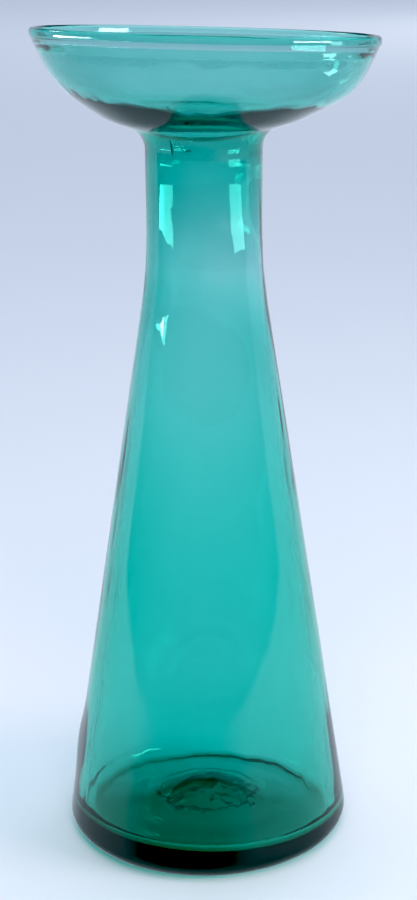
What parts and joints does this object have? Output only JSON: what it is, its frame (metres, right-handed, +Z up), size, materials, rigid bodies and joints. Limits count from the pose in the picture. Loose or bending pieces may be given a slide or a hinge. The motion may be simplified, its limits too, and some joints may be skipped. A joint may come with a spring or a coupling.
{
  "type": "hyacinth forcing vase",
  "caption": "Tall blown-glass vase with a flared cup that holds a flower bulb over a narrow neck, and a conical reservoir below where its roots reach the water.",
  "frame": {"origin": "centre of the foot, on the surface the vase stands on", "axes": "+Z up along the axis of the glass, towards the rim"},
  "size_m": [0.0892, 0.0892, 0.22],
  "materials": {
    "teal_glass": "fire-polished blown glass"
  },
  "bodies": {
    "root": {"rim_bead": "teal_glass", "cup_wall": "teal_glass", "cup_seat": "teal_glass", "neck": "teal_glass", "reservoir_wall": "teal_glass", "foot": "teal_glass", "pontil_scar": "teal_glass"}
  },
  "joints": []
}
